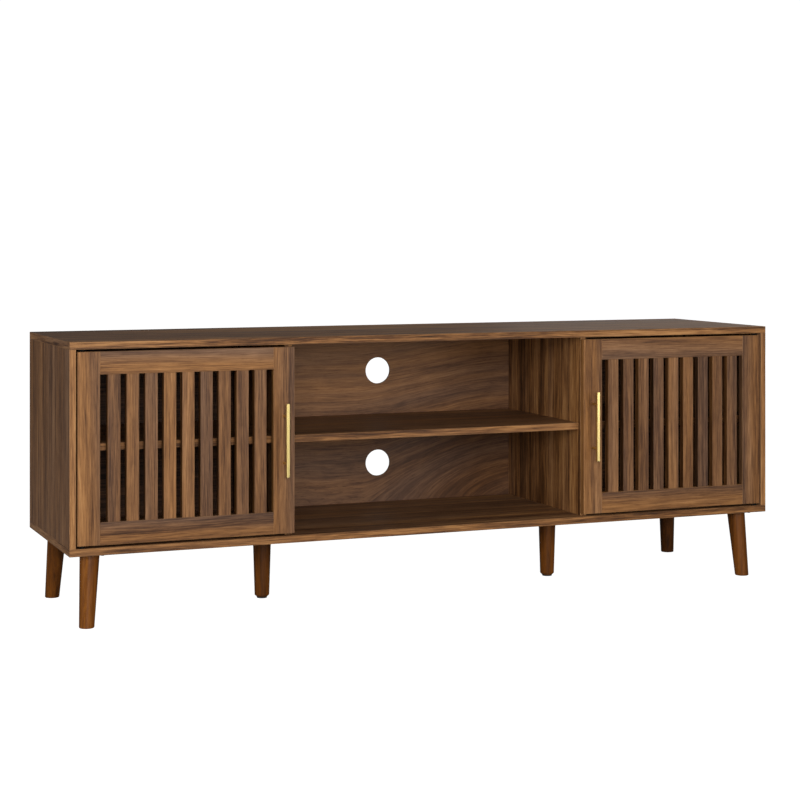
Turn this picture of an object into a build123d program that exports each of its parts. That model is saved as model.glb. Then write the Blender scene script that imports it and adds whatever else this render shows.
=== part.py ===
from build123d import *
import os

# A low, wide television stand: three bays side by side, the outer two closed by slatted
# doors, the whole standing on four splayed corner legs and two straight middle legs.
# Millimetres. X runs to the viewer's right, Y runs to the back, Z is up.
# The origin is on the floor, under the middle of the box that holds the whole object, so
# the door handles shift the carcass back by half of what they stand proud.

# Overall sizes
WIDTH = 1600
DEPTH = 400
HEIGHT = 569
LEG_HEIGHT = 147

# Board thicknesses, and the small bevel on every board edge
BOARD = 15
SIDE_BOARD = 13
BACK_BOARD = 5
EDGE_BREAK = 0.4

# Handles: a square bar on two round posts, a little above the doors' middle
HANDLE_REACH = 26.5
HANDLE_BAR = 6.5
HANDLE_LENGTH = 150
HANDLE_SPACING = 96
HANDLE_LIFT = 1.8
POST_RADIUS = 3

# Carcass. Insets are measured back from the front face.
HALF_WIDTH = WIDTH / 2
FRONT = HANDLE_REACH / 2 - DEPTH / 2
REAR = FRONT + DEPTH
FLOOR_TOP = LEG_HEIGHT + BOARD
CEILING = HEIGHT - BOARD
SIDE_INNER = HALF_WIDTH - SIDE_BOARD
SIDE_MIDDLE = HALF_WIDTH - SIDE_BOARD / 2
BAY_INNER = 334
PARTITION_OUTER = BAY_INNER + BOARD
PARTITION_MIDDLE = BAY_INNER + BOARD / 2
PARTITION_INSET = 17
SHELF_BOTTOM = 350
CENTER_SHELF_INSET = 25
SIDE_SHELF_INSET = 30
SHELF_PLAY = 1

# Back panels, held in grooves
BACK_INSET = 380
BACK_FRONT = FRONT + BACK_INSET
BACK_REAR = BACK_FRONT + BACK_BOARD
GROOVE_DEPTH = 5
GROOVE_PLAY = 0.2
BACK_TONGUE = 4
CABLE_HOLE_RADIUS = 30
CABLE_HOLE_OFFSET = 106.4

# Doors, set in between the top and bottom boards and over the partitions' front edges
DOOR_WIDTH = 450
DOOR_GAP_SIDE = 3
DOOR_GAP_ENDS = 5
DOOR_OUTER = SIDE_INNER - DOOR_GAP_SIDE
DOOR_INNER = DOOR_OUTER - DOOR_WIDTH
DOOR_BACK = FRONT + BOARD
DOOR_BOTTOM = FLOOR_TOP + DOOR_GAP_ENDS
DOOR_TOP = CEILING - DOOR_GAP_ENDS
DOOR_MIDDLE = (DOOR_TOP + DOOR_BOTTOM) / 2
HANDLE_MIDDLE = DOOR_MIDDLE + HANDLE_LIFT
FRAME_WIDTH = 45
SLAT_COUNT = 9
SLAT_WIDTH = 25.3
SLAT_PITCH = 37.95

# Stub tenons in the middle of the door's thickness
TENON_THICKNESS = 6
RAIL_TENON_LENGTH = 12
RAIL_TENON_HEIGHT = 30
SLAT_TENON_LENGTH = 8
SLAT_TENON_WIDTH = 18
TENON_PLAY = 0.1

# Door pivots: a collared pin in the board above and below, turning in a flanged bush
PIVOT_FROM_EDGE = 10
PIVOT_FROM_FACE = BOARD / 2
PIVOT_PIN_RADIUS = 2.5
PIVOT_PIN_IN_BOARD = 10
PIVOT_PIN_IN_DOOR = 12
PIVOT_COLLAR_RADIUS = 5.5
PIVOT_COLLAR = 2.3
BUSH_RADIUS = 4.5
BUSH_FLANGE_RADIUS = 6
BUSH_FLANGE = 2.4
BUSH_LENGTH = 14
BUSH_END_PLAY = 1

# Magnetic catches in the partitions' front edges, with steel discs let into the doors
MAGNET_RADIUS = 4
MAGNET_DEPTH = 10
MAGNET_STAND = 1.6
STRIKE_RADIUS = 6
STRIKE = 1
CATCH_FROM_END = 40

# Legs
CORNER_TOP_X = 749.5
CORNER_TOP_INSET = 45.6
CORNER_FOOT_X = 758.3
CORNER_FOOT_INSET = 33.6
CORNER_TOP_RADIUS = 20
CORNER_FOOT_RADIUS = 15.2
CORNER_FOOT_BREAK = 1
MIDDLE_LEG_INSET = 193
MIDDLE_TOP_RADIUS = 20
MIDDLE_FOOT_RADIUS = 15.6
MIDDLE_FOOT_BREAK = 4
MIDDLE_FOOT_HEIGHT = 2.8

# Steel plates under the bottom board, with a threaded sleeve for each leg's bolt
PLATE = 2.5
PLATE_WIDTH = 56
PLATE_CORNER = 6
PLATE_SCREW_SPACING = 42
SLEEVE_RADIUS = 6.2
SLEEVE_RISE = 8
LEG_BOLT_RADIUS = 4
LEG_BOLT_RISE = 7
LEG_BOLT_IN_LEG = 38

# Levelling feet under the middle legs
PAD_RADIUS = 11
PAD_HEIGHT = 2.5
PAD_BREAK = 0.5
STEM_RADIUS = 3
STEM_LENGTH = 26
STEM_BORE = 30

# Screws: shank radius, length, head radius, head height
PLATE_SCREW = (1.8, 13, 3.6, 2.0)
HANDLE_SCREW = (1.5, 22, 3.2, 1.8)
HEAD_SLOT = 0.7

# Carcass fixings: cam locks with their bolts, dowels and shelf pins
CAM_INSETS = (60, 335)
DOWEL_INSETS = (110, 285)
CAM_RADIUS = 6
CAM_DEPTH = 9
CAM_FROM_END = 24
CAM_SLOT = 1.2
FIXING_IN_FACE = 8
CAM_BOLT_RADIUS = 2.5
DOWEL_RADIUS = 3
DOWEL_LENGTH = 24
SHELF_PIN_RADIUS = 2.5
SHELF_PIN_INSETS = (70, 330)
SHELF_PIN_REACH = 8

# Radial play between a fixing and its hole
FIT = 0.05

SIDES = {"left": -1, "right": 1}
ENDS = ((FLOOR_TOP, 1), (CEILING, -1))
UP = (0, 0, 1)
BACKWARD = (0, 1, 0)
FORWARD = (0, -1, 0)
ON_START = (Align.CENTER, Align.CENTER, Align.MIN)


def save(piece, label):
    """Names a finished piece and writes it to its own file."""
    piece.part.label = label
    export_step(piece.part, f"parts/{label}.step")


def block(x, y, z, mode=Mode.ADD):
    """A box in the current part; x, y and z are each a pair of limits, in either order."""
    lows = [min(pair) for pair in (x, y, z)]
    sizes = [max(pair) - min(pair) for pair in (x, y, z)]
    with Locations(tuple(lows)):
        Box(*sizes, align=(Align.MIN, Align.MIN, Align.MIN), mode=mode)


def rod(start, direction, radius, length, mode=Mode.ADD):
    """A round rod in the current part, from a point along a direction."""
    with Locations(Plane(origin=start, z_dir=direction)):
        Cylinder(radius, length, align=ON_START, mode=mode)


def take_out(*pieces):
    """Takes the shapes of other pieces out of the current part."""
    for piece in pieces:
        add(piece.part, mode=Mode.SUBTRACT)


def screw(start, direction, sizes, grow=0):
    """A pan-head screw: its head stands back from the start, its shank goes along."""
    shank_radius, length, head_radius, head_height = sizes
    rod(start, direction, shank_radius + grow, length + grow)
    outward = -Vector(*direction)
    rod(start, outward, head_radius, head_height)
    slot_start = Vector(*start) + outward * (head_height - HEAD_SLOT)
    with Locations(Plane(origin=slot_start, z_dir=outward)):
        Box(2 * head_radius, HEAD_SLOT, HEAD_SLOT, align=ON_START, mode=Mode.SUBTRACT)


# ---------------------------------------------------------------- carcass fixings


def upright_middles():
    """The mid-planes of the side panels and partitions."""
    return [side * x for side in SIDES.values() for x in (SIDE_MIDDLE, PARTITION_MIDDLE)]


def make_dowels(grow=0):
    """Wooden dowels in the uprights' ends and in the centre shelf's ends."""
    with BuildPart() as dowels:
        for inset in DOWEL_INSETS:
            y = FRONT + inset
            for x in upright_middles():
                for face, inward in ENDS:
                    start = (x, y, face - inward * (FIXING_IN_FACE + grow))
                    rod(start, (0, 0, inward), DOWEL_RADIUS + grow, DOWEL_LENGTH + 2 * grow)
            for side in SIDES.values():
                start = (side * (BAY_INNER + FIXING_IN_FACE + grow), y, SHELF_BOTTOM + BOARD / 2)
                rod(start, (-side, 0, 0), DOWEL_RADIUS + grow, DOWEL_LENGTH + 2 * grow)
    return dowels


def make_cam_bolts(grow=0):
    """Steel bolts that the cam locks pull on; each ends at its cam's rim."""
    length = FIXING_IN_FACE + CAM_FROM_END - CAM_RADIUS
    with BuildPart() as bolts:
        for inset in CAM_INSETS:
            y = FRONT + inset
            for x in upright_middles():
                for face, inward in ENDS:
                    start = (x, y, face - inward * (FIXING_IN_FACE + grow))
                    rod(start, (0, 0, inward), CAM_BOLT_RADIUS + grow, length + grow)
            for side in SIDES.values():
                start = (side * (BAY_INNER + FIXING_IN_FACE + grow), y, SHELF_BOTTOM + BOARD / 2)
                rod(start, (-side, 0, 0), CAM_BOLT_RADIUS + grow, length + grow)
    return bolts


def cam(face, direction, slot_size, grow):
    """One cam lock sunk into a face along a direction, with a driver slot."""
    rod(face, direction, CAM_RADIUS + grow, CAM_DEPTH + grow)
    if not grow:
        with Locations(face):
            Box(*slot_size, mode=Mode.SUBTRACT)


def make_cam_locks(grow=0):
    """Cam locks in the uprights' hidden faces and in the centre shelf's underside."""
    upright_slot = (2 * CAM_SLOT, CAM_RADIUS, CAM_SLOT)
    shelf_slot = (CAM_RADIUS, CAM_SLOT, 2 * CAM_SLOT)
    with BuildPart() as cams:
        for inset in CAM_INSETS:
            y = FRONT + inset
            for side in SIDES.values():
                for face, inward in ENDS:
                    z = face + inward * CAM_FROM_END
                    cam((side * SIDE_INNER, y, z), (side, 0, 0), upright_slot, grow)
                    cam((side * PARTITION_OUTER, y, z), (-side, 0, 0), upright_slot, grow)
                under_shelf = (side * (BAY_INNER - CAM_FROM_END), y, SHELF_BOTTOM)
                cam(under_shelf, UP, shelf_slot, grow)
    return cams


def make_shelf_pins(grow=0):
    """Steel pins that the two side shelves rest on."""
    with BuildPart() as pins:
        z = SHELF_BOTTOM - SHELF_PIN_RADIUS
        length = FIXING_IN_FACE + SHELF_PIN_REACH + grow
        for side in SIDES.values():
            for inset in SHELF_PIN_INSETS:
                y = FRONT + inset
                from_side = (side * (SIDE_INNER + FIXING_IN_FACE + grow), y, z)
                rod(from_side, (-side, 0, 0), SHELF_PIN_RADIUS + grow, length)
                from_partition = (side * (PARTITION_OUTER - FIXING_IN_FACE - grow), y, z)
                rod(from_partition, (side, 0, 0), SHELF_PIN_RADIUS + grow, length)
    return pins


# ---------------------------------------------------------------- legs and their fixings


def corner_leg_ends(side, front):
    """The foot and the top of a corner leg's axis; front is True at the front."""
    points = []
    for x, inset, z in (
        (CORNER_FOOT_X, CORNER_FOOT_INSET, 0),
        (CORNER_TOP_X, CORNER_TOP_INSET, LEG_HEIGHT),
    ):
        y = FRONT + inset if front else REAR - inset
        points.append(Vector(side * x, y, z))
    return points


def middle_leg_ends(side):
    """The foot and the top of a middle leg's axis."""
    x = side * PARTITION_MIDDLE
    y = FRONT + MIDDLE_LEG_INSET
    return [Vector(x, y, 0), Vector(x, y, LEG_HEIGHT)]


def all_leg_ends():
    """The six legs' axes."""
    corners = [corner_leg_ends(side, front) for front in (True, False) for side in SIDES.values()]
    return corners + [middle_leg_ends(side) for side in SIDES.values()]


def make_leg_plates(grow=0):
    """Square steel plates, each with a threaded sleeve let into the bottom board."""
    bolts = make_leg_bolts(FIT)
    with BuildPart() as plates:
        for foot, top in all_leg_ends():
            axis = (top - foot).normalized()
            with BuildSketch(Plane.XY.offset(LEG_HEIGHT - PLATE)):
                with Locations((top.X, top.Y)):
                    RectangleRounded(PLATE_WIDTH, PLATE_WIDTH, PLATE_CORNER)
                    with GridLocations(PLATE_SCREW_SPACING, PLATE_SCREW_SPACING, 2, 2):
                        Circle(PLATE_SCREW[0] + 2 * FIT, mode=Mode.SUBTRACT)
            extrude(amount=PLATE)
            start = top - axis * (PLATE / 2)
            rod(start, axis, SLEEVE_RADIUS + grow, PLATE / 2 + SLEEVE_RISE + grow)
        if not grow:
            take_out(bolts)
    return plates


def make_leg_bolts(grow=0):
    """The bolts that stand out of the legs' tops and screw into the plates."""
    with BuildPart() as bolts:
        for foot, top in all_leg_ends():
            axis = (top - foot).normalized()
            start = top - axis * (PLATE + LEG_BOLT_IN_LEG + grow)
            length = LEG_BOLT_IN_LEG + PLATE + LEG_BOLT_RISE + 2 * grow
            rod(start, axis, LEG_BOLT_RADIUS + grow, length)
    return bolts


def make_plate_screws(grow=0):
    """Four screws through each leg plate into the bottom board."""
    reach = PLATE_SCREW_SPACING / 2
    with BuildPart() as screws:
        for foot, top in all_leg_ends():
            for dx in (-reach, reach):
                for dy in (-reach, reach):
                    start = (top.X + dx, top.Y + dy, LEG_HEIGHT - PLATE)
                    screw(start, UP, PLATE_SCREW, grow)
    return screws


def make_corner_leg(side, front):
    """A round tapered leg that leans out both ways, cut level at the foot and the top."""
    foot, top = corner_leg_ends(side, front)
    axis = (top - foot).normalized()
    length = (top - foot).length
    spare = 5
    taper = (CORNER_TOP_RADIUS - CORNER_FOOT_RADIUS) / length
    bolts = make_leg_bolts(FIT)
    with BuildPart() as leg:
        for height, radius in (
            (-spare, CORNER_FOOT_RADIUS - spare * taper),
            (length + spare, CORNER_TOP_RADIUS + spare * taper),
        ):
            with BuildSketch(Plane(origin=foot + axis * height, z_dir=axis)):
                Circle(radius)
        loft()
        split(bisect_by=Plane.XY, keep=Keep.TOP)
        split(bisect_by=Plane.XY.offset(LEG_HEIGHT - PLATE), keep=Keep.BOTTOM)
        chamfer(leg.edges().group_by(Axis.Z)[0], CORNER_FOOT_BREAK)
        take_out(bolts)
    return leg


def make_middle_leg(side):
    """A straight tapered leg with a bore for its levelling foot's stem."""
    foot, top = middle_leg_ends(side)
    bolts = make_leg_bolts(FIT)
    with BuildPart() as leg:
        with BuildSketch(Plane.XY.offset(MIDDLE_FOOT_HEIGHT)):
            with Locations((foot.X, foot.Y)):
                Circle(MIDDLE_FOOT_RADIUS)
        with BuildSketch(Plane.XY.offset(LEG_HEIGHT - PLATE)):
            with Locations((top.X, top.Y)):
                Circle(MIDDLE_TOP_RADIUS)
        loft()
        chamfer(leg.edges().group_by(Axis.Z)[0], MIDDLE_FOOT_BREAK)
        rod((foot.X, foot.Y, MIDDLE_FOOT_HEIGHT), UP, STEM_RADIUS + FIT, STEM_BORE, Mode.SUBTRACT)
        take_out(bolts)
    return leg


def make_leveler(side):
    """A plastic levelling foot: a round pad on a threaded stem."""
    foot, _ = middle_leg_ends(side)
    with BuildPart() as leveler:
        rod((foot.X, foot.Y, 0), UP, PAD_RADIUS, PAD_HEIGHT)
        chamfer(leveler.edges().group_by(Axis.Z)[0], PAD_BREAK)
        rod((foot.X, foot.Y, PAD_HEIGHT), UP, STEM_RADIUS, STEM_LENGTH)
        chamfer(leveler.edges().group_by(Axis.Z)[-1], STEM_RADIUS / 4)
    return leveler


# ---------------------------------------------------------------- door hardware


def pivot_point(side):
    """Where a door's pivot axis crosses the floor plane."""
    return side * (DOOR_OUTER - PIVOT_FROM_EDGE), FRONT + PIVOT_FROM_FACE


def make_pivot_pins(side, grow=0):
    """The two collared pins of one door, one in the bottom board and one in the top."""
    x, y = pivot_point(side)
    length = PIVOT_PIN_IN_BOARD + DOOR_GAP_ENDS + PIVOT_PIN_IN_DOOR
    with BuildPart() as pins:
        for face, inward in ENDS:
            start = (x, y, face - inward * (PIVOT_PIN_IN_BOARD + grow))
            rod(start, (0, 0, inward), PIVOT_PIN_RADIUS + grow, length + grow)
            rod((x, y, face), (0, 0, inward), PIVOT_COLLAR_RADIUS, PIVOT_COLLAR)
    return pins


def make_pivot_bushes(side, grow=0):
    """The two flanged bushes in a door's bottom and top edges."""
    x, y = pivot_point(side)
    with BuildPart() as bushes:
        for face, inward in ((DOOR_BOTTOM, 1), (DOOR_TOP, -1)):
            start = (x, y, face - inward * BUSH_FLANGE)
            rod(start, (0, 0, inward), BUSH_FLANGE_RADIUS, BUSH_FLANGE)
            rod((x, y, face), (0, 0, inward), BUSH_RADIUS + grow, BUSH_LENGTH + grow)
            if not grow:
                bore = BUSH_FLANGE + PIVOT_PIN_IN_DOOR + BUSH_END_PLAY
                rod(start, (0, 0, inward), PIVOT_PIN_RADIUS + FIT, bore, Mode.SUBTRACT)
    return bushes


def catch_points(side):
    """The middles of one door's two catches, in X and Z."""
    heights = (DOOR_BOTTOM + CATCH_FROM_END, DOOR_TOP - CATCH_FROM_END)
    return [(side * PARTITION_MIDDLE, z) for z in heights]


def make_catch_magnets(grow=0):
    """Round magnets in the partitions' front edges, standing a little proud."""
    front = FRONT + PARTITION_INSET - MAGNET_STAND
    length = MAGNET_STAND + MAGNET_DEPTH + grow
    with BuildPart() as magnets:
        for side in SIDES.values():
            for x, z in catch_points(side):
                rod((x, front, z), BACKWARD, MAGNET_RADIUS + grow, length)
    return magnets


def make_strike_discs(side, grow=0):
    """Steel discs let into the back of a door's inner stile, facing the magnets."""
    with BuildPart() as discs:
        for x, z in catch_points(side):
            rod((x, DOOR_BACK, z), FORWARD, STRIKE_RADIUS + grow, STRIKE + grow)
    return discs


def handle_x(side):
    """The handle stands on the middle of the inner stile."""
    return side * (DOOR_INNER + FRAME_WIDTH / 2)


def post_heights():
    """The heights of the handle's two posts."""
    return (HANDLE_MIDDLE - HANDLE_SPACING / 2, HANDLE_MIDDLE + HANDLE_SPACING / 2)


def make_handle_bar(side):
    """A slim square bar with slightly broken edges."""
    x = handle_x(side)
    with BuildPart() as bar:
        block(
            (x - HANDLE_BAR / 2, x + HANDLE_BAR / 2),
            (FRONT - HANDLE_REACH, FRONT - HANDLE_REACH + HANDLE_BAR),
            (HANDLE_MIDDLE - HANDLE_LENGTH / 2, HANDLE_MIDDLE + HANDLE_LENGTH / 2),
        )
        chamfer(bar.edges(), EDGE_BREAK)
    return bar


def make_handle_posts(side):
    """Two round posts between the bar and the door, threaded for the handle screws."""
    screws = make_handle_screws(side, FIT)
    with BuildPart() as posts:
        for z in post_heights():
            rod((handle_x(side), FRONT, z), FORWARD, POST_RADIUS, HANDLE_REACH - HANDLE_BAR)
        take_out(screws)
    return posts


def make_handle_screws(side, grow=0):
    """Screws from the back of the door into the handle's posts."""
    with BuildPart() as screws:
        for z in post_heights():
            screw((handle_x(side), DOOR_BACK, z), FORWARD, HANDLE_SCREW, grow)
    return screws


# ---------------------------------------------------------------- carcass boards


def back_spans():
    """Each back panel's clear width, from the left bay to the right."""
    bay = (PARTITION_OUTER, SIDE_INNER)
    return {
        "left": (-bay[1], -bay[0]),
        "center": (-BAY_INNER, BAY_INNER),
        "right": bay,
    }


def cut_groove(x, z):
    """A groove for a back panel, in the current part."""
    y = (BACK_FRONT - GROOVE_PLAY, BACK_REAR + GROOVE_PLAY)
    block(x, y, z, Mode.SUBTRACT)


def make_cross_board(face, inward):
    """The bottom or the top board; face is its inner face and inward points off it."""
    hardware = [make_dowels(FIT), make_cam_bolts(FIT)]
    hardware += [make_pivot_pins(side, FIT) for side in SIDES.values()]
    groove_z = (face, face - inward * GROOVE_DEPTH)
    with BuildPart() as board:
        block((-HALF_WIDTH, HALF_WIDTH), (FRONT, REAR), (face, face - inward * BOARD))
        chamfer(board.edges(), EDGE_BREAK)
        for low, high in back_spans().values():
            cut_groove((low - GROOVE_DEPTH, high + GROOVE_DEPTH), groove_z)
        take_out(*hardware)
    return board


def make_bottom_panel():
    """The bottom board, which also takes the leg plates' sleeves, bolts and screws."""
    bottom = make_cross_board(FLOOR_TOP, 1)
    hardware = [make_leg_plates(FIT), make_leg_bolts(FIT), make_plate_screws(FIT)]
    with BuildPart() as board:
        add(bottom.part)
        take_out(*hardware)
    return board


def make_upright(outer, inner, inset, groove_faces):
    """A side panel or a partition between the bottom and top boards, at one side."""
    hardware = [
        make_dowels(FIT),
        make_cam_bolts(FIT),
        make_cam_locks(FIT),
        make_shelf_pins(FIT),
        make_catch_magnets(FIT),
    ]
    with BuildPart() as board:
        block((outer, inner), (FRONT + inset, REAR), (FLOOR_TOP, CEILING))
        chamfer(board.edges(), EDGE_BREAK)
        for face, into in groove_faces:
            cut_groove((face, face + into * GROOVE_DEPTH), (FLOOR_TOP, CEILING))
        take_out(*hardware)
    return board


def make_center_shelf():
    """The fixed shelf of the open bay."""
    hardware = [make_dowels(FIT), make_cam_bolts(FIT), make_cam_locks(FIT)]
    with BuildPart() as shelf:
        block(
            (-BAY_INNER, BAY_INNER),
            (FRONT + CENTER_SHELF_INSET, BACK_FRONT),
            (SHELF_BOTTOM, SHELF_BOTTOM + BOARD),
        )
        chamfer(shelf.edges(), EDGE_BREAK)
        take_out(*hardware)
    return shelf


def make_side_shelf(side):
    """A loose shelf behind a door, lying on four pins."""
    with BuildPart() as shelf:
        block(
            (side * (PARTITION_OUTER + SHELF_PLAY), side * (SIDE_INNER - SHELF_PLAY)),
            (FRONT + SIDE_SHELF_INSET, BACK_FRONT),
            (SHELF_BOTTOM, SHELF_BOTTOM + BOARD),
        )
        chamfer(shelf.edges(), EDGE_BREAK)
    return shelf


def make_back_panel(low, high, with_cable_holes):
    """A thin back panel with its edges in the grooves round a bay."""
    with BuildPart() as panel:
        block(
            (low - BACK_TONGUE, high + BACK_TONGUE),
            (BACK_FRONT, BACK_REAR),
            (FLOOR_TOP - BACK_TONGUE, CEILING + BACK_TONGUE),
        )
        if with_cable_holes:
            middle = Plane(origin=(0, BACK_FRONT, DOOR_MIDDLE), x_dir=(1, 0, 0), z_dir=FORWARD)
            with Locations(middle):
                with Locations((0, -CABLE_HOLE_OFFSET), (0, CABLE_HOLE_OFFSET)):
                    Hole(CABLE_HOLE_RADIUS)
    return panel


# ---------------------------------------------------------------- door boards


def tenon_y(play):
    """Front and back limits of a tenon, or of its mortise with some play."""
    middle = FRONT + BOARD / 2
    reach = TENON_THICKNESS / 2 + play
    return (middle - reach, middle + reach)


def rail_heights():
    """Low and high edges of the bottom rail and of the top rail."""
    return {
        "bottom": (DOOR_BOTTOM, DOOR_BOTTOM + FRAME_WIDTH),
        "top": (DOOR_TOP - FRAME_WIDTH, DOOR_TOP),
    }


def slat_middles(side):
    """The slats' centre lines, spaced evenly about the door's middle."""
    door_middle = side * (DOOR_OUTER + DOOR_INNER) / 2
    first = door_middle - SLAT_PITCH * (SLAT_COUNT - 1) / 2
    return [first + index * SLAT_PITCH for index in range(SLAT_COUNT)]


def rail_tenons(side, play, mode):
    """Tenons at both ends of both rails, or their mortises."""
    inner, outer = DOOR_INNER + FRAME_WIDTH, DOOR_OUTER - FRAME_WIDTH
    reach = RAIL_TENON_LENGTH + play
    for low, high in rail_heights().values():
        middle = (low + high) / 2
        z = (middle - RAIL_TENON_HEIGHT / 2 - play, middle + RAIL_TENON_HEIGHT / 2 + play)
        block((side * inner, side * (inner - reach)), tenon_y(play), z, mode)
        block((side * outer, side * (outer + reach)), tenon_y(play), z, mode)


def slat_tenons(side, play, mode):
    """Tenons at both ends of every slat, or their mortises."""
    low_end = DOOR_BOTTOM + FRAME_WIDTH
    high_end = DOOR_TOP - FRAME_WIDTH
    reach = SLAT_TENON_LENGTH + play
    half = SLAT_TENON_WIDTH / 2 + play
    for x in slat_middles(side):
        block((x - half, x + half), tenon_y(play), (low_end, low_end - reach), mode)
        block((x - half, x + half), tenon_y(play), (high_end, high_end + reach), mode)


def make_stile(side, edge):
    """An upright of the door's frame, from an edge towards the middle of the stand."""
    x = (side * edge, side * (edge - FRAME_WIDTH))
    hardware = [
        make_pivot_bushes(side, FIT),
        make_strike_discs(side, FIT),
        make_handle_screws(side, FIT),
    ]
    with BuildPart() as stile:
        block(x, (FRONT, DOOR_BACK), (DOOR_BOTTOM, DOOR_TOP))
        chamfer(stile.edges(), EDGE_BREAK)
        rail_tenons(side, TENON_PLAY, Mode.SUBTRACT)
        take_out(*hardware)
    return stile


def make_rail(side, low, high):
    """A cross piece of the door's frame, with tenons in the stiles."""
    ends = (side * (DOOR_INNER + FRAME_WIDTH), side * (DOOR_OUTER - FRAME_WIDTH))
    middle = (low + high) / 2
    with BuildPart() as rail:
        block(ends, (FRONT, DOOR_BACK), (low, high))
        chamfer(rail.edges(), EDGE_BREAK)
        for end, outward in zip(ends, (-side, side)):
            z = (middle - RAIL_TENON_HEIGHT / 2, middle + RAIL_TENON_HEIGHT / 2)
            block((end, end + outward * RAIL_TENON_LENGTH), tenon_y(0), z)
        slat_tenons(side, TENON_PLAY, Mode.SUBTRACT)
    return rail


def make_slats(side):
    """The door's upright slats, each with a tenon at both ends."""
    with BuildPart() as slats:
        for x in slat_middles(side):
            block(
                (x - SLAT_WIDTH / 2, x + SLAT_WIDTH / 2),
                (FRONT, DOOR_BACK),
                (DOOR_BOTTOM + FRAME_WIDTH, DOOR_TOP - FRAME_WIDTH),
            )
        chamfer(slats.edges(), EDGE_BREAK)
        slat_tenons(side, 0, Mode.ADD)
    return slats


# ---------------------------------------------------------------- the whole stand

os.makedirs("parts", exist_ok=True)

save(make_cross_board(CEILING, -1), "top_panel")
save(make_bottom_panel(), "bottom_panel")
save(make_center_shelf(), "center_shelf")
for bay, (low, high) in back_spans().items():
    save(make_back_panel(low, high, bay == "center"), f"{bay}_back_panel")

for name, side in SIDES.items():
    one_groove = [(side * SIDE_INNER, side)]
    side_panel = make_upright(side * HALF_WIDTH, side * SIDE_INNER, 0, one_groove)
    save(side_panel, f"{name}_side_panel")
    two_grooves = [(side * BAY_INNER, side), (side * PARTITION_OUTER, -side)]
    partition = make_upright(side * BAY_INNER, side * PARTITION_OUTER, PARTITION_INSET, two_grooves)
    save(partition, f"{name}_partition")
    save(make_side_shelf(side), f"{name}_shelf")

    save(make_stile(side, DOOR_OUTER), f"{name}_door_outer_stile")
    save(make_stile(side, DOOR_INNER + FRAME_WIDTH), f"{name}_door_inner_stile")
    for rail_name, (low, high) in rail_heights().items():
        save(make_rail(side, low, high), f"{name}_door_{rail_name}_rail")
    save(make_slats(side), f"{name}_door_slats")
    save(make_handle_bar(side), f"{name}_handle_bar")
    save(make_handle_posts(side), f"{name}_handle_posts")
    save(make_handle_screws(side), f"{name}_handle_screws")
    save(make_pivot_bushes(side), f"{name}_pivot_bushes")
    save(make_pivot_pins(side), f"{name}_pivot_pins")
    save(make_strike_discs(side), f"{name}_strike_discs")

    save(make_corner_leg(side, True), f"front_{name}_leg")
    save(make_corner_leg(side, False), f"back_{name}_leg")
    save(make_middle_leg(side), f"middle_{name}_leg")
    save(make_leveler(side), f"{name}_leveler")

save(make_leg_plates(), "leg_plates")
save(make_leg_bolts(), "leg_bolts")
save(make_plate_screws(), "leg_plate_screws")
save(make_dowels(), "dowels")
save(make_cam_bolts(), "cam_bolts")
save(make_cam_locks(), "cam_locks")
save(make_shelf_pins(), "shelf_pins")
save(make_catch_magnets(), "catch_magnets")
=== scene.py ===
import math

import bmesh
import bpy
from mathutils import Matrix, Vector


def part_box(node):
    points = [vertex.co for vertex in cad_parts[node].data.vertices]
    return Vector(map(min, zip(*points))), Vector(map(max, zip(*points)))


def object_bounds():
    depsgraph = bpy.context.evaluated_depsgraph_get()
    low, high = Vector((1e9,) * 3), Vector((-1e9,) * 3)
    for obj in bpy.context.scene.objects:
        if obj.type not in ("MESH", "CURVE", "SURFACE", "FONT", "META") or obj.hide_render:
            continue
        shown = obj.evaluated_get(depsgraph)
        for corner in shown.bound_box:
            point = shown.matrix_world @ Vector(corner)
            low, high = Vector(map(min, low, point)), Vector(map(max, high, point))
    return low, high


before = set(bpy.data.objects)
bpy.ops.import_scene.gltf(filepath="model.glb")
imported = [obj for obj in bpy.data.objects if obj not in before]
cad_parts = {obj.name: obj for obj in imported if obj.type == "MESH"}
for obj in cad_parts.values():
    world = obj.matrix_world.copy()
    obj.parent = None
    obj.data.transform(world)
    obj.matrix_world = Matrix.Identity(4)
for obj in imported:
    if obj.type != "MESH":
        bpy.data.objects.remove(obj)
cad_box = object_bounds()
centre = (cad_box[0] + cad_box[1]) / 2

MM = 0.001
X, Y, Z = 0, 1, 2
SIDES = ("left", "right")
WHITE = (1.0, 1.0, 1.0)

# How nearly square to an axis a surface has to be, as a cosine, to count as facing along it
SQUARE_ON = 0.72

# How much of the pitch from one door slat to the next is wood
SLAT_SHARE = 2 / 3

# How deep a pore or a hard line shows in the wood's sheen
GRAIN_DEPTH = 0.12 * MM

# The Mix node's sockets for colours
FIRST_COLOUR, SECOND_COLOUR, MIXED_COLOUR = 6, 7, 2


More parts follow.
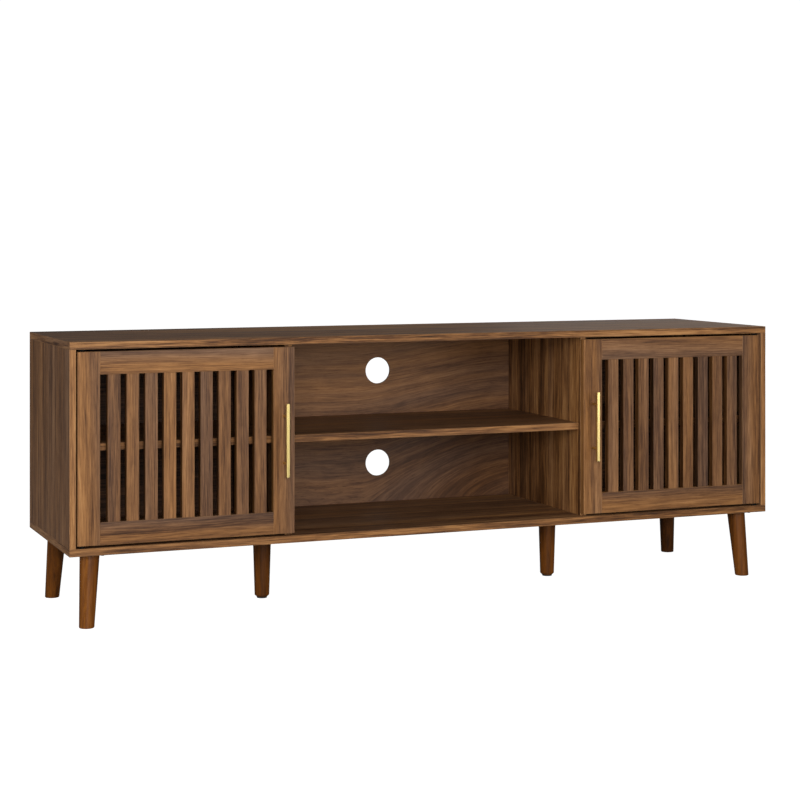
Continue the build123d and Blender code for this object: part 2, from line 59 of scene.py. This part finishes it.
class Material:
    """A material with a Principled shader, and short ways to add the nodes that feed it."""

    def __init__(self, name):
        self.block = bpy.data.materials.new(name)
        self.block.use_nodes = True
        self.tree = self.block.node_tree
        self.tree.nodes.clear()
        output = self.tree.nodes.new("ShaderNodeOutputMaterial")
        self.shader = self.tree.nodes.new("ShaderNodeBsdfPrincipled")
        self.tree.links.new(self.shader.outputs[0], output.inputs["Surface"])
        coordinates = self.tree.nodes.new("ShaderNodeTexCoord")
        self.place = self.split(coordinates.outputs["Object"])
        self.normal = self.split(coordinates.outputs["Normal"])

    def feed(self, socket, value):
        """Sets a socket to a number or a colour, or links another node's output to it."""
        if isinstance(value, bpy.types.NodeSocket):
            self.tree.links.new(value, socket)
        else:
            socket.default_value = (*value, 1.0) if isinstance(value, tuple) else value

    def split(self, vector):
        """A vector's, or a colour's, three numbers."""
        node = self.tree.nodes.new("ShaderNodeSeparateXYZ")
        self.feed(node.inputs[0], vector)
        return [node.outputs[axis] for axis in (X, Y, Z)]

    def join(self, x, y, z):
        """A vector made of three numbers."""
        node = self.tree.nodes.new("ShaderNodeCombineXYZ")
        for socket, value in zip(node.inputs, (x, y, z)):
            self.feed(socket, value)
        return node.outputs[0]

    def calc(self, operation, *values):
        """One Math node: ADD, MULTIPLY, POWER and so on."""
        node = self.tree.nodes.new("ShaderNodeMath")
        node.operation = operation
        for socket, value in zip(node.inputs, values):
            self.feed(socket, value)
        return node.outputs[0]

    def total(self, *terms):
        """The sum of terms, each a value or a (value, weight) pair."""
        result = 0.0
        for term in terms:
            value, weight = term if isinstance(term, tuple) else (term, 1.0)
            result = self.calc("MULTIPLY_ADD", value, weight, result)
        return result

    def faces(self, axis):
        """1 where the surface faces along an axis, either way, and 0 elsewhere."""
        return self.calc("GREATER_THAN", self.calc("ABSOLUTE", self.normal[axis]), SQUARE_ON)

    def step(self, value, low, high, to_low=0.0, to_high=1.0):
        """A smooth step from to_low to to_high as value goes from low to high."""
        node = self.tree.nodes.new("ShaderNodeMapRange")
        node.interpolation_type = "SMOOTHSTEP"
        for name, number in (("Value", value), ("From Min", low), ("From Max", high),
                             ("To Min", to_low), ("To Max", to_high)):
            self.feed(node.inputs[name], number)
        return node.outputs[0]

    def noise(self, vector, detail=2.0, roughness=0.55):
        """Noise about 0.5, with patches one unit of the vector apart."""
        node = self.tree.nodes.new("ShaderNodeTexNoise")
        self.feed(node.inputs["Vector"], vector)
        node.inputs["Scale"].default_value = 1.0
        node.inputs["Detail"].default_value = detail
        node.inputs["Roughness"].default_value = roughness
        return node.outputs["Fac"]

    def specks(self, per_metre, detail=3.0, roughness=0.6):
        """Noise with so many patches to the metre along X, Y and Z."""
        scaled = [self.calc("MULTIPLY", place, scale) for place, scale in zip(self.place, per_metre)]
        return self.noise(self.join(*scaled), detail, roughness)

    def ramp(self, factor, stops, interpolation="LINEAR"):
        """A colour for each value of factor, from (position, colour) stops."""
        node = self.tree.nodes.new("ShaderNodeValToRGB")
        node.color_ramp.interpolation = interpolation
        elements = node.color_ramp.elements
        while len(elements) < len(stops):
            elements.new(0.5)
        for element, (position, colour) in zip(elements, stops):
            element.position = position
            element.color = (*colour, 1.0)
        self.feed(node.inputs[0], factor)
        return node.outputs[0]

    def mix(self, factor, first, second, blend="MIX"):
        """The first colour or vector where factor is 0, and the second where it is 1."""
        node = self.tree.nodes.new("ShaderNodeMix")
        node.data_type = "RGBA"
        node.blend_type = blend
        self.feed(node.inputs[0], factor)
        self.feed(node.inputs[FIRST_COLOUR], first)
        self.feed(node.inputs[SECOND_COLOUR], second)
        return node.outputs[MIXED_COLOUR]

    def bump(self, height, strength, distance):
        """Raises the surface's shading by height, where 1 stands for distance in metres."""
        node = self.tree.nodes.new("ShaderNodeBump")
        node.inputs["Strength"].default_value = strength
        node.inputs["Distance"].default_value = distance
        self.feed(node.inputs["Height"], height)
        self.feed(self.shader.inputs["Normal"], node.outputs[0])

    def finish(self, colour, roughness, **fixed):
        """Feeds the shader's colour and roughness, and sets its other inputs to fixed numbers."""
        self.feed(self.shader.inputs["Base Color"], colour)
        self.feed(self.shader.inputs["Roughness"], roughness)
        for name, value in fixed.items():
            self.shader.inputs[name.replace("_", " ")].default_value = value
        return self.block


def put_on(node, material):
    """Gives a CAD node's object one material all over."""
    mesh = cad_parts[node].data
    mesh.materials.clear()
    mesh.materials.append(material)


# ---------------------------------------------------------------- walnut laminate

# Tones, linear, from the dark lines to the light grain
WARM = ((0.0, (0.022, 0.008, 0.002)), (0.3, (0.085, 0.032, 0.009)), (0.55, (0.19, 0.08, 0.024)),
        (0.8, (0.3, 0.135, 0.042)), (1.0, (0.41, 0.2, 0.07)))
PLUM = ((0.0, (0.022, 0.01, 0.005)), (0.3, (0.07, 0.033, 0.018)), (0.55, (0.14, 0.071, 0.037)),
        (0.8, (0.21, 0.113, 0.061)), (1.0, (0.29, 0.165, 0.09)))
FIBREBOARD = (0.105, 0.06, 0.034)
FIBREBOARD_SPECK = (0.1785, 0.102, 0.0578)

# Along each edge a lighter line, partly rubbed wear and partly painted highlight where light catches the
# corner, fades out between two distances, and a dark joint lies between two others, darkest at its
# middle
RUB_AND_HIGHLIGHT_EDGE = (0.42, 0.25, 0.13)
RUB_HIGHLIGHT_START, RUB_HIGHLIGHT_END = 0.1 * MM, 0.9 * MM
DARK_JOINT = (0.05, 0.024, 0.012)
JOINT_START, JOINT_MIDDLE, JOINT_END = 0.5 * MM, 0.9 * MM, 1.5 * MM
EDGE_STRENGTH = 0.35

# Noise in the wood: lines to the metre across the grain and along it, then the noise's detail and
# roughness, and an offset that keeps one noise from repeating another
WALNUT_LINES = {
    "broad": (26.0, 1.1, 2.0, 0.5, 0.0),
    "streak": (95.0, 2.4, 5.0, 0.72, 21.0),
    "fine": (520.0, 16.0, 3.0, 0.65, 43.0),
    "pores": (1300.0, 60.0, 1.0, 0.5, 65.0),
    "hue": (17.0, 0.9, 3.0, 0.6, 87.0),
    "mottle": (60.0, 22.0, 2.0, 0.6, 107.0),
}

# How far the broad, streak and fine lines move the tone, and the tone that they move it about
BROAD, STREAK, FINE = 0.9, 1.5, 1.3
MIDDLE_TONE = 0.41

# Where a plain board's growth rings centre, across the grain from its middle, and how deep
PLAIN_RINGS = (-0.6, 0.02)


def first_slat(m, low, high, count):
    """Which of count equal slats a point is on, its X as if on the first, and the first one's corner."""
    pitch = (high.x - low.x) / (count - 1 + SLAT_SHARE)
    from_left = m.calc("SUBTRACT", m.place[X], low.x)
    slat = m.calc("FLOOR", m.calc("DIVIDE", from_left, pitch))
    x = m.total(from_left, (slat, -pitch), low.x)
    return slat, x, Vector((low.x + pitch * SLAT_SHARE, high.y, high.z))


def own_tone(m, slat, slats):
    """A slat's own tone and warmth, from its (tone, warmth) pair, where 0.5 is an even tone."""
    position = m.calc("DIVIDE", m.calc("ADD", slat, 0.5), float(len(slats)))
    stops = [(index / len(slats), (*pair, 0.0)) for index, pair in enumerate(slats)]
    tone, warmth, _ = m.split(m.ramp(position, stops, "CONSTANT"))
    return m.total(tone, -0.5), warmth


def growth_rings(m, along, over, shift, figure):
    """Distance from the line that the growth rings centre on, which the grain's lines follow."""
    where, depth = PLAIN_RINGS
    if figure:
        where, depth, start, end = figure
        depth = m.step(along, start, end, depth, 0.0)
    ripple = m.noise(m.join(m.total((along, 4.0), shift), shift, over))
    down = m.total((ripple, 0.03), depth)
    aside = m.calc("SUBTRACT", over, where)
    return m.calc("SQRT", m.total((down, down), (aside, aside)))


def edge_distance(m, low, high, place):
    """How far a point on a board's surface is from the nearest edge of its box.

    Of its gaps to the box's sides along X, Y and Z, the least is nothing, and the next is this.
    """
    gaps = []
    for axis in (X, Y, Z):
        below = m.calc("SUBTRACT", place[axis], low[axis])
        above = m.calc("SUBTRACT", high[axis], place[axis])
        gaps.append(m.calc("MINIMUM", below, above))
    least = m.calc("MINIMUM", m.calc("MINIMUM", gaps[X], gaps[Y]), gaps[Z])
    most = m.calc("MAXIMUM", m.calc("MAXIMUM", gaps[X], gaps[Y]), gaps[Z])
    return m.total(*gaps, (least, -1.0), (most, -1.0))


def finish_edges(m, colour, edge, streak):
    """A hair of dark joint beside each edge band, and a lighter line on the corner, partly rubbed wear
    and partly painted highlight.
    """
    joint = m.calc("MULTIPLY", m.step(edge, JOINT_START, JOINT_MIDDLE),
                   m.step(edge, JOINT_END, JOINT_MIDDLE))
    # The lighter line on the corner: partly rubbed wear, partly painted highlight
    rub_and_highlight = m.calc("MULTIPLY", m.step(edge, RUB_HIGHLIGHT_END, RUB_HIGHLIGHT_START), m.step(streak, 0.35, 0.65, 0.25, 0.7))
    colour = m.mix(m.calc("MULTIPLY", joint, EDGE_STRENGTH), colour, DARK_JOINT)
    return m.mix(m.calc("MULTIPLY", rub_and_highlight, EDGE_STRENGTH), colour, RUB_AND_HIGHLIGHT_EDGE)


def bare_rear(m, colour):
    """Leaves bare fibreboard everywhere but on the front face."""
    bare = m.mix(m.step(m.specks((900.0,) * 3, 3.0, 0.7), 0.3, 0.7), FIBREBOARD, FIBREBOARD_SPECK)
    return m.mix(m.calc("GREATER_THAN", m.normal[Y], -0.5), colour, bare)


def board(node, grain, seed, tone=0.0, warmth=0.5, contrast=1.0, band=0.07, figure=None,
          drift=(0.0, 0.0, 0.0), slats=(), raw_rear=False):
    """Walnut laminate on one board: lines along the grain, with a strip of its own on each edge.

    seed picks the board's own piece of wood. tone makes it lighter, warmth takes it from plum at
    0 to orange brown at 1, and band is how much lighter its edge bands are; the slats' and the right
    shelf's darker bands are painted shade. drift is how fast the tone changes along the grain and
    across it, and how fast the warmth changes across it, all to the metre; on the top it paints a
    highlight, and on the centre back and the partitions it paints shade. figure is (where, depth,
    start, end): the line that the growth rings centre on, measured across the grain from the board's
    middle, and its depth, which falls to nothing from start to end along the grain. slats has a
    (tone, warmth) pair for each of the equal slats that stand side by side in X, in place of tone
    and warmth. raw_rear leaves all but the front face as bare fibreboard.
    """
    m = Material(f"walnut_{node}")
    low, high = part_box(node)
    size = high - low
    thin, wide = sorted((axis for axis in (X, Y, Z) if axis != grain), key=lambda axis: size[axis])
    place = list(m.place)
    slat = 0.0
    if slats:
        slat, place[X], high = first_slat(m, low, high, len(slats))
        tone, warmth = own_tone(m, slat, slats)
    middle = (low + high) / 2

    # Which face a point is on, so that each face, edge band and slat shows its own piece of wood
    facing = [m.calc("ROUND", m.normal[axis]) for axis in (grain, wide, thin)]
    shift = m.total((facing[0], 3.7), (facing[1], 5.3), (facing[2], 1.9), (slat, 11.3), seed * 7.1)
    on_end = m.faces(grain)
    on_band = m.total(1.0, (m.faces(thin), -1.0), (on_end, -1.0))

    lengthways, crossways, inwards = [
        m.calc("SUBTRACT", place[axis], middle[axis]) for axis in (grain, wide, thin)]
    # The strip on an end runs the other way
    along, over, through = m.split(m.mix(
        on_end, m.join(lengthways, crossways, inwards), m.join(crossways, inwards, lengthways)))

    wave = m.noise(m.join(m.total((along, 1.7), shift), m.total((over, 3.0), shift), shift))
    over = m.total((wave, 0.02), over, through)
    rings = growth_rings(m, along, over, shift, figure)

    def lines(name):
        across_scale, along_scale, detail, roughness, offset = WALNUT_LINES[name]
        where = m.join(m.total((rings, across_scale), shift),
                       m.total((along, along_scale), (shift, 1.3), offset),
                       m.total((through, across_scale * 0.2), offset))
        return m.noise(where, detail, roughness)

    broad = lines("broad")
    streak = lines("streak")
    fine = lines("fine")
    pores = m.step(lines("pores"), 0.62, 0.72)

    level = MIDDLE_TONE - contrast * (BROAD + STREAK + FINE) / 2
    value = m.total((broad, BROAD * contrast), (streak, STREAK * contrast), (fine, FINE * contrast),
                    (lines("mottle"), 0.2), (pores, -0.13), (on_band, band), (lengthways, drift[0]),
                    (crossways, drift[1]), tone, level)
    warm = m.total((lines("hue"), 2.0), (crossways, drift[2]), (on_band, 0.45), warmth, -1.0)
    warm = m.calc("MINIMUM", m.calc("MAXIMUM", warm, 0.0), 1.0)
    colour = m.mix(warm, m.ramp(value, PLUM), m.ramp(value, WARM))
    colour = finish_edges(m, colour, edge_distance(m, low, high, place), streak)
    if raw_rear:
        colour = bare_rear(m, colour)

    roughness = m.total((fine, 0.14), (broad, 0.1), (pores, 0.12), 0.38)
    m.bump(m.total((fine, 0.6), (pores, -1.0), (streak, 0.5)), 0.35, GRAIN_DEPTH)
    put_on(node, m.finish(colour, roughness, Specular_IOR_Level=0.2))


# ---------------------------------------------------------------- solid wood

ORANGE = ((0.0, (0.013, 0.004, 0.0008)), (0.3, (0.06, 0.018, 0.002)), (0.55, (0.14, 0.042, 0.004)),
          (0.8, (0.24, 0.082, 0.009)), (1.0, (0.33, 0.13, 0.02)))
BEECH = ((0.0, (0.42, 0.27, 0.13)), (0.5, (0.6, 0.43, 0.25)), (1.0, (0.7, 0.54, 0.34)))
END_GRAIN = (0.07, 0.03, 0.012)

# As for the walnut, all with the same roughness
TURNED_LINES = {
    "broad": (45.0, 3.0, 2.0, 0.0),
    "streak": (190.0, 5.0, 3.0, 17.0),
    "fine": (900.0, 22.0, 2.0, 31.0),
    "pores": (1600.0, 60.0, 1.0, 57.0),
}
TURNED_ROUGHNESS = 0.6


def solid_wood(node, seed, tones, tone=0.0, painted_shade_up=0.0):
    """Turned wood with upright grain, for legs and dowels; the last argument is the tone lost per metre
    up, painted shade that deepens towards the carcass's underside.
    """
    m = Material(f"wood_{node}")
    x, y, z = m.place
    shift = seed * 9.7
    wave = m.noise(m.join(m.total((x, 9.0), shift), m.total((y, 9.0), shift), m.total((z, 3.0), shift)))
    x = m.total((wave, 0.012), x)

    def lines(name):
        across_scale, along_scale, detail, offset = TURNED_LINES[name]
        where = m.join(m.total((x, across_scale), shift),
                       m.total((y, across_scale), offset),
                       m.total((z, along_scale), shift, offset))
        return m.noise(where, detail, TURNED_ROUGHNESS)

    fine = lines("fine")
    pores = m.step(lines("pores"), 0.64, 0.74)
    # The (z, ...) term darkens the wood upwards: painted shade under the carcass
    value = m.total((lines("broad"), 0.8), (lines("streak"), 0.65), (fine, 0.4), (pores, -0.15),
                    (z, -painted_shade_up), tone - 0.43)
    end = m.step(m.calc("ABSOLUTE", m.normal[Z]), 0.75, 0.9)
    colour = m.mix(m.calc("MULTIPLY", end, 0.45), m.ramp(value, tones), END_GRAIN, "MULTIPLY")
    roughness = m.total((fine, 0.14), (pores, 0.12), (end, 0.2), 0.3)
    m.bump(m.total((fine, 0.6), (pores, -1.0)), 0.3, GRAIN_DEPTH)
    put_on(node, m.finish(colour, roughness, Specular_IOR_Level=0.16))


# ---------------------------------------------------------------- metal and plastic


def metal(name, colour, roughness, lines, dark=0.75, **fixed):
    """Brushed or plated metal: lines to the metre along each axis, soft clouds and a little tarnish.

    dark is how much of its colour the tarnish keeps.
    """
    m = Material(name)
    brushed = m.specks(lines, 3.0, 0.65)
    clouds = m.specks((60.0,) * 3)
    tarnish = m.total((m.step(clouds, 0.45, 0.75), 0.7), (m.step(brushed, 0.55, 0.8), 0.3))
    shade = m.mix(tarnish, colour, tuple(dark * part for part in colour))
    m.bump(brushed, 0.2, 0.03 * MM)
    return m.finish(shade, m.total((brushed, 0.12), (clouds, 0.1), roughness - 0.11), **fixed)


def plastic(name, colour, roughness, texture, **fixed):
    """Moulded plastic with a fine spark-eroded texture, so many grains to the metre, and pale scuffs."""
    m = Material(name)
    pebble = m.specks((texture,) * 3, 2.0, 0.6)
    clouds = m.specks((90.0,) * 3)
    shade = m.mix(m.step(clouds, 0.5, 0.8), colour, tuple(2.1 * part + 0.01 for part in colour))
    m.bump(pebble, 0.4, 0.05 * MM)
    return m.finish(shade, m.total((pebble, 0.15), (clouds, 0.1), roughness - 0.12), **fixed)


# ---------------------------------------------------------------- finishes on the CAD nodes

DOOR_CONTRAST = 0.8

# Each slat's tone and warmth, from the left
LEFT_SLATS = ((0.48, 0.55), (0.54, 0.75), (0.49, 0.4), (0.58, 0.95), (0.55, 0.8), (0.46, 0.35),
              (0.54, 0.55), (0.55, 0.8), (0.51, 0.7))
RIGHT_SLATS = ((0.53, 0.75), (0.43, 0.3), (0.51, 0.65), (0.36, 0.1), (0.54, 0.8), (0.55, 0.85),
               (0.39, 0.1), (0.57, 0.85), (0.45, 0.3))

# Each leg's tone at the floor and the tone it loses to the metre on the way up, which is painted shade
# under the carcass; the back right leg's much lower tone is painted shade too
LEG_TONES_AND_SHADE = {"front_left": (0.1, 0.3), "front_right": (0.0, 0.5), "back_left": (-0.04, 0.3),
             "back_right": (-0.24, 0.3), "middle_left": (0.06, 1.6), "middle_right": (0.05, 1.5)}


def door_board(node, grain, seed, tone, warmth, tone_drift, warmth_drift):
    """One of a door frame's boards, plum along one edge and warm along the other."""
    board(node, grain, seed, tone, warmth, DOOR_CONTRAST, drift=(0.0, tone_drift, warmth_drift))


def finish_carcass():
    # drift lightens the top towards the right: painted highlight where the rear light glances off it
    board("top_panel", X, 1, tone=0.24, warmth=0.55, contrast=1.5, band=-0.23, drift=(0.25, 0.0, 0.0))
    board("bottom_panel", X, 2, tone=0.01, contrast=1.25, band=0.04)
    board("center_shelf", X, 3, tone=-0.05, contrast=1.15)
    # drift darkens the centre back towards the right and the bottom: painted shade beside the right
    # partition and under the shelf
    board("center_back_panel", X, 4, tone=-0.05, warmth=0.38, contrast=0.5,
          figure=(-0.23, 0.16, -0.05, 0.45), drift=(-0.24, 0.5, 0.0), raw_rear=True)
    for index, side in enumerate(SIDES):
        # tone -0.3 darkens the backs behind the slatted doors: painted shade
        board(f"{side}_back_panel", X, 5 + index, tone=-0.3, warmth=0.4, contrast=0.6, raw_rear=True)
        board(f"{side}_side_panel", Z, 7 + index, tone=0.1, warmth=0.34, contrast=1.1, band=0.15)
        # drift darkens each partition towards the back of the bay: painted shade
        board(f"{side}_partition", Z, 9 + index, tone=0.05, warmth=0.8, contrast=1.4,
              drift=(0.0, -0.4, 0.0))
    board("left_shelf", X, 11, tone=-0.03)
    # Its lower tone and darker edge band are painted shade behind the door
    board("right_shelf", X, 12, tone=-0.15, band=-0.15)


def finish_doors():
    door_board("left_door_outer_stile", Z, 13, 0.01, 0.75, -2.0, -24.0)
    door_board("left_door_inner_stile", Z, 15, -0.02, 0.6, -1.5, -14.0)
    door_board("left_door_top_rail", X, 17, 0.02, 0.6, -2.0, -26.0)
    door_board("left_door_bottom_rail", X, 19, -0.09, 0.6, -3.0, -30.0)
    # band -0.12 darkens the slats' sides: painted shade between the slats
    board("left_door_slats", Z, 31, contrast=DOOR_CONTRAST, band=-0.12, slats=LEFT_SLATS)

    door_board("right_door_outer_stile", Z, 14, 0.01, 0.65, 2.5, 30.0)
    door_board("right_door_inner_stile", Z, 16, 0.08, 0.8, -2.0, -20.0)
    door_board("right_door_top_rail", X, 18, 0.11, 0.6, 1.0, 10.0)
    door_board("right_door_bottom_rail", X, 20, 0.03, 0.8, -1.5, -20.0)
    # band -0.2 darkens the slats' sides: painted shade between the slats
    board("right_door_slats", Z, 47, contrast=DOOR_CONTRAST, band=-0.2, slats=RIGHT_SLATS)


def finish_turned_wood():
    for index, (leg, (tone, painted_shade_up)) in enumerate(LEG_TONES_AND_SHADE.items()):
        solid_wood(f"{leg}_leg", 60 + index, ORANGE, tone, painted_shade_up)
    solid_wood("dowels", 70, BEECH, 0.1)


def finish_hardware():
    brass = metal("satin_brass", (0.75, 0.575, 0.225), 0.3, (2600.0, 2600.0, 30.0), 0.88, Metallic=1.0)
    zinc = metal("zinc_plate", (0.62, 0.63, 0.64), 0.34, (700.0,) * 3, 0.7, Metallic=1.0)
    black_steel = metal("black_steel", (0.008, 0.007, 0.006), 0.85, (900.0,) * 3, 0.6,
                        Specular_IOR_Level=0.05)
    magnet = plastic("magnet_black", (0.018, 0.018, 0.019), 0.5, 2200.0)
    nylon = plastic("bush_nylon", (0.005, 0.004, 0.003), 0.9, 2600.0, Specular_IOR_Level=0.04)
    rubber = plastic("foot_black", (0.016, 0.016, 0.017), 0.6, 1500.0)

    for side in SIDES:
        put_on(f"{side}_handle_bar", brass)
        put_on(f"{side}_handle_posts", brass)
        put_on(f"{side}_handle_screws", zinc)
        put_on(f"{side}_strike_discs", zinc)
        put_on(f"{side}_pivot_pins", black_steel)
        put_on(f"{side}_pivot_bushes", nylon)
        put_on(f"{side}_leveler", rubber)
    for node in ("leg_plates", "leg_plate_screws", "cam_locks"):
        put_on(node, black_steel)
    for node in ("leg_bolts", "cam_bolts", "shelf_pins"):
        put_on(node, zinc)
    put_on("catch_magnets", magnet)


# ---------------------------------------------------------------- floor, light and camera

FLOOR_REACH = 200.0
FLOOR_GAP = 0.1 * MM
FLOOR_GREY = (0.35, 0.35, 0.35)

# The camera's place from the middle of the carcass's front edge on the floor, in metres, and
# its lens on a sensor this wide, in millimetres
CAMERA_FROM_FRONT = Vector((-1.584, -3.621, 0.7908))
CAMERA_TURN = math.radians(-21.92)
CAMERA_LENS = 83.9
CAMERA_SENSOR = 36.0
CAMERA_SHIFT = (0.0147, -0.2138)


def seen_only(tree, felt, seen):
    """One number for what the camera sees directly and another for the light that things get."""
    path = tree.nodes.new("ShaderNodeLightPath")
    choice = tree.nodes.new("ShaderNodeMapRange")
    choice.inputs["To Min"].default_value = felt
    choice.inputs["To Max"].default_value = seen
    tree.links.new(path.outputs["Is Camera Ray"], choice.inputs["Value"])
    return choice.outputs[0]


def make_floor(seen):
    """A wide pale floor just under the feet, which the camera sees as nearly white."""
    mesh = bpy.data.meshes.new("floor")
    shape = bmesh.new()
    bmesh.ops.create_circle(shape, cap_ends=True, radius=FLOOR_REACH, segments=96)
    shape.to_mesh(mesh)
    shape.free()
    floor = bpy.data.objects.new("floor", mesh)
    floor.location.z = cad_box[0].z - FLOOR_GAP
    bpy.context.scene.collection.objects.link(floor)
    m = Material("pale_floor")
    m.feed(m.shader.inputs["Emission Color"], WHITE)
    m.feed(m.shader.inputs["Emission Strength"], seen_only(m.tree, 0.0, seen))
    mesh.materials.append(m.finish(FLOOR_GREY, 0.9, Specular_IOR_Level=0.1))


def make_world(seen, felt):
    """White all round: seen by the camera at one strength, and felt by the object at another."""
    world = bpy.data.worlds.new("studio")
    bpy.context.scene.world = world
    world.use_nodes = True
    tree = world.node_tree
    background = tree.nodes["Background"]
    background.inputs["Color"].default_value = (*WHITE, 1.0)
    tree.links.new(seen_only(tree, felt, seen), background.inputs["Strength"])


def make_softbox(name, place, width, height, power):
    """A rectangular light in watts, aimed at the middle of the object."""
    data = bpy.data.lights.new(name, "AREA")
    data.shape = "RECTANGLE"
    data.size = width
    data.size_y = height
    data.energy = power
    light = bpy.data.objects.new(name, data)
    light.location = place
    light.rotation_euler = (centre - Vector(place)).to_track_quat("-Z", "Y").to_euler()
    bpy.context.scene.collection.objects.link(light)


def make_camera():
    """A level camera, turned to the left of the object's front."""
    data = bpy.data.cameras.new("camera")
    data.sensor_width = CAMERA_SENSOR
    data.lens = CAMERA_LENS
    data.shift_x, data.shift_y = CAMERA_SHIFT
    data.clip_end = 2 * FLOOR_REACH
    camera = bpy.data.objects.new("camera", data)
    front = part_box("top_panel")[0].y
    camera.location = CAMERA_FROM_FRONT + Vector((0.0, front, 0.0))
    camera.rotation_euler = (math.pi / 2, 0.0, CAMERA_TURN)
    bpy.context.scene.collection.objects.link(camera)
    bpy.context.scene.camera = camera


finish_carcass()
finish_doors()
finish_turned_wood()
finish_hardware()

make_floor(seen=0.97)
make_world(seen=1.05, felt=0.17)
make_softbox("key", (-1.4, -4.7, 1.4), 2.2, 1.8, 190.0)
make_softbox("fill", (2.2, -4.5, 0.7), 2.0, 1.2, 40.0)
make_softbox("left", (-5.0, -1.2, 1.3), 2.0, 2.0, 64.0)
make_softbox("rear", (5.2, 6.0, 1.2), 4.0, 1.6, 26.0)
make_camera()
bpy.context.scene.view_settings.view_transform = "Standard"
